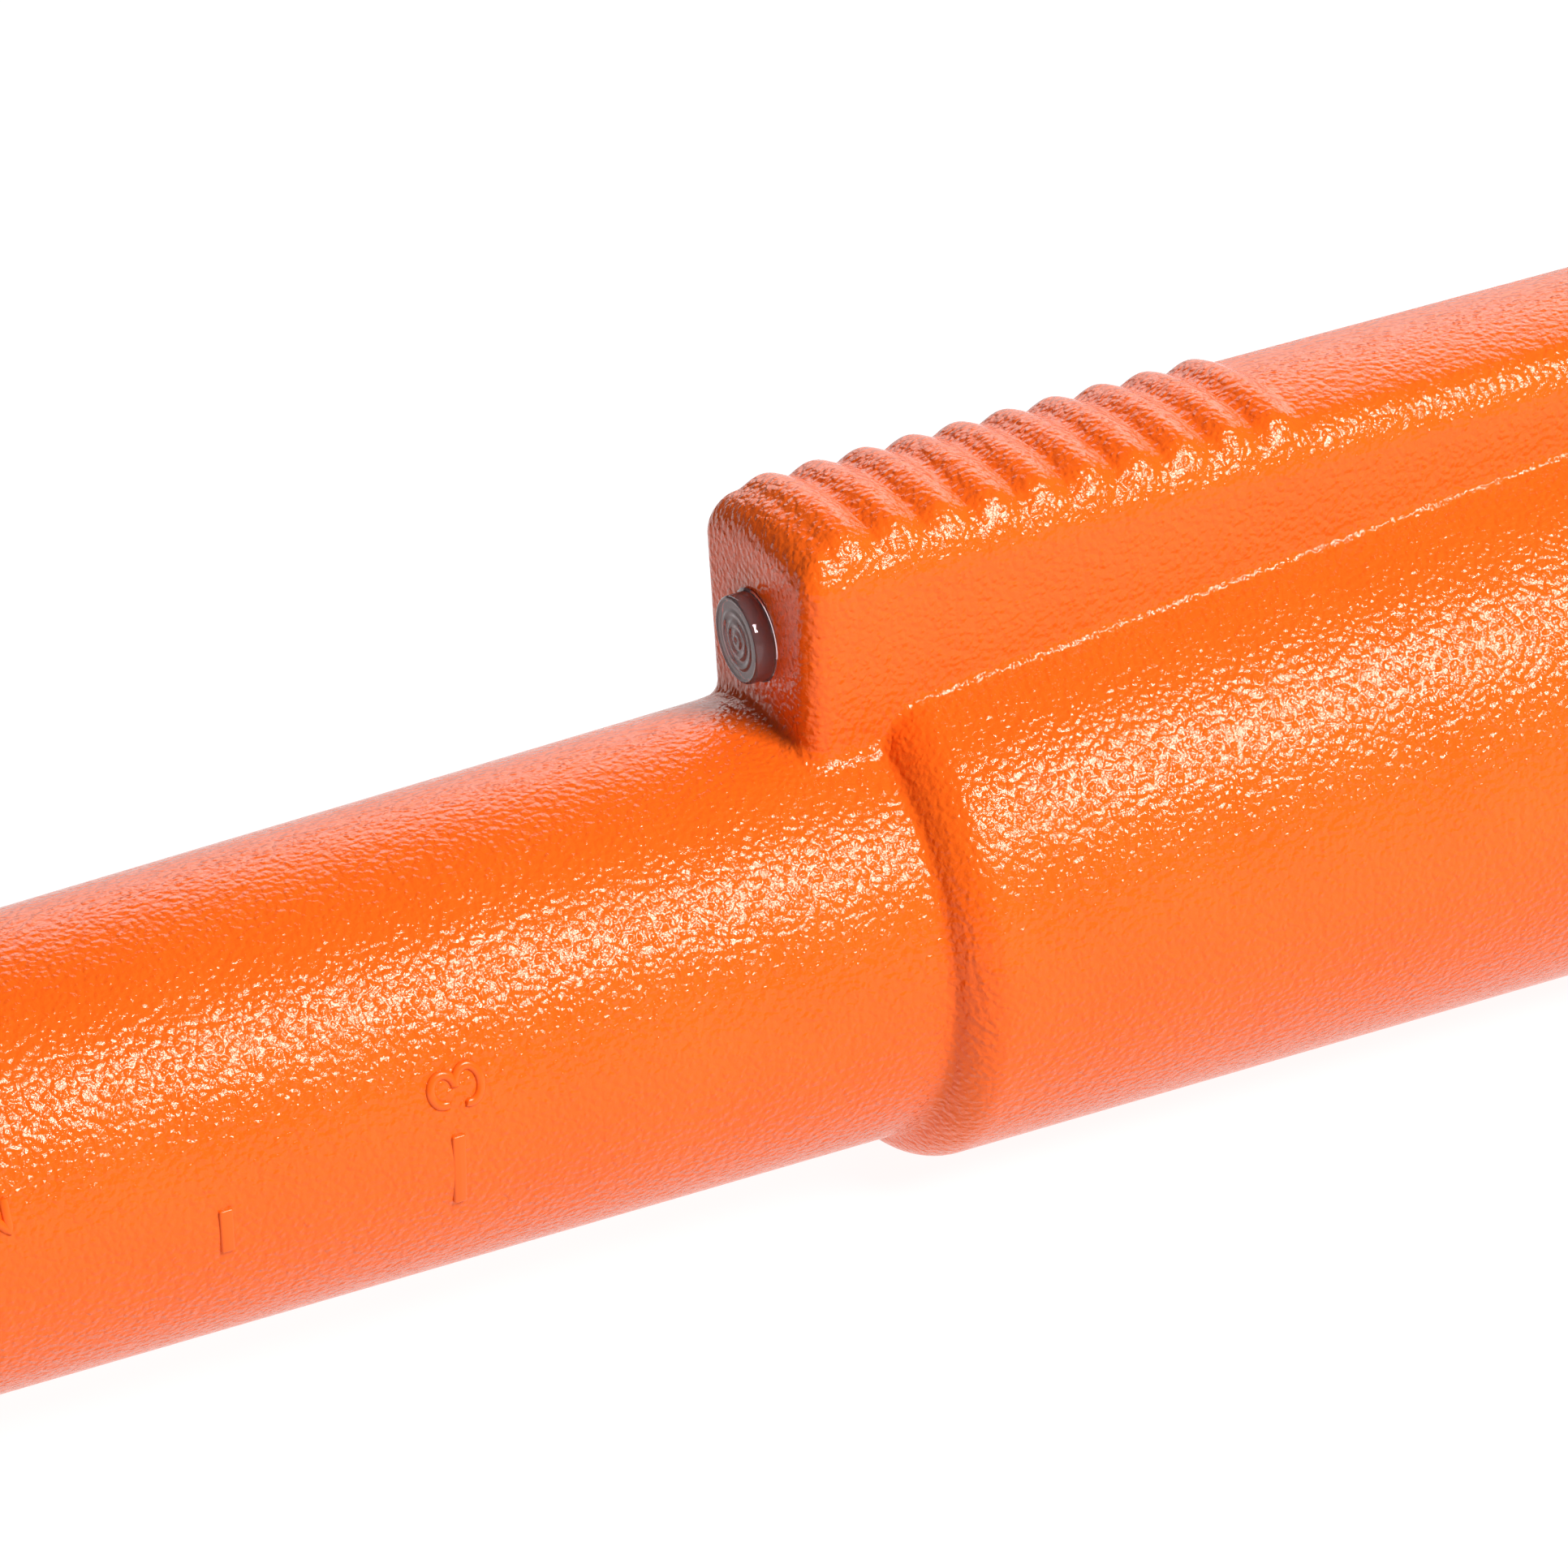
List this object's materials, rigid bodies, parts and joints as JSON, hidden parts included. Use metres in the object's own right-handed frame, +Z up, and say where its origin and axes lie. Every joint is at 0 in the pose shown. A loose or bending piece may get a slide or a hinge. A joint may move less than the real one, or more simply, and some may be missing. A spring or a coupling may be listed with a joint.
{
  "type": "handheld metal-detecting pinpointer",
  "caption": "Handheld pinpointer: slim ruled probe with coils in its tip, ribbed grip with lamp and power button, screw cap over the battery.",
  "frame": {"origin": "on the plane of the belly flat, under the middle of the length, in the plane of symmetry", "axes": "+X along the probe's axis towards the battery cap, +Z up through the spine and its button, +Y to the left of someone who looks along +X"},
  "size_m": [0.2323, 0.0392, 0.0389],
  "materials": {
    "orange_shell": "satin gloss with a fine spark-eroded grain",
    "clear_lens": "water-clear moulded lens",
    "black_rubber": "matt silicone rubber",
    "led_epoxy": "clear epoxy",
    "button_rubber": "soft matt rubber",
    "white_nylon": "natural nylon",
    "green_board": "solder mask",
    "steel": "bright plated",
    "black_plastic": "moulded",
    "copper_wire": "enamelled copper",
    "grey_foam": "closed-cell foam",
    "ferrite": "sintered ferrite",
    "capacitor_can": "sleeved can",
    "motor_can": "drawn can",
    "weight_brass": "machined",
    "battery_jacket": "printed steel jacket",
    "battery_cell": "plain cell cans"
  },
  "bodies": {
    "root": {"housing": "orange_shell", "led_lens": "clear_lens", "lens_seal": "black_rubber", "led": "led_epoxy", "button_boot": "black_rubber", "boot_frame": "white_nylon", "switch_board": "green_board", "switch_screws": "steel", "tact_switch": "black_plastic", "switch_wires": "copper_wire", "tip_foam": "grey_foam", "ferrite_rod": "ferrite", "coil_bobbin": "white_nylon", "transmit_coil": "copper_wire", "receive_coils": "copper_wire", "coil_leads": "copper_wire", "main_board": "green_board", "chips": "black_plastic", "capacitors": "capacitor_can", "board_screws": "steel", "board_carrier": "white_nylon", "vibration_motor": "motor_can", "bulkhead": "white_nylon", "bulkhead_screws": "steel", "speaker": "black_plastic", "speaker_gasket": "grey_foam", "snap_connector": "black_plastic", "battery_leads": "copper_wire", "battery_jacket": "battery_jacket", "battery_cells": "battery_cell", "battery_snaps": "steel"},
    "button": {"power_button": "button_rubber"},
    "switch_plunger": {"switch_stem": "black_plastic"},
    "motor_rotor": {"motor_shaft": "steel", "motor_weight": "weight_brass"},
    "cap_pad": {"pressure_pad": "grey_foam"},
    "cap": {"battery_cap": "orange_shell", "cap_o_ring": "black_rubber"}
  },
  "joints": [
    {"name": "button_press", "type": "slide", "parent": "root", "child": "button", "axis": [0, 0, -1], "range_m": [0, 0.0006], "stiffness_N_per_m": 900, "springref_m": -0.0015, "deforming": ["button_boot"]},
    {"name": "switch_press", "type": "slide", "parent": "root", "child": "switch_plunger", "axis": [0, 0, -1], "range_m": [0, 0.0006]},
    {"name": "motor_spin", "type": "hinge", "parent": "root", "child": "motor_rotor", "pos_m": [0.00885, 0, 0.00735], "axis": [1, 0, 0], "continuous": true},
    {"name": "cap_travel", "type": "slide", "parent": "root", "child": "cap_pad", "axis": [0.9992, 0, 0.0401], "range_m": [0, 0.00451]},
    {"name": "cap_turn", "type": "hinge", "parent": "cap_pad", "child": "cap", "pos_m": [0.09876, 0, 0.01896], "axis": [0.9992, 0, 0.0401], "range_deg": [0, 540]}
  ],
  "couplings": [
    {"joint": "switch_press", "follows": "button_press", "ratio": 1},
    {"joint": "cap_travel", "follows": "cap_turn", "m_per_rad": 0.00047746}
  ]
}
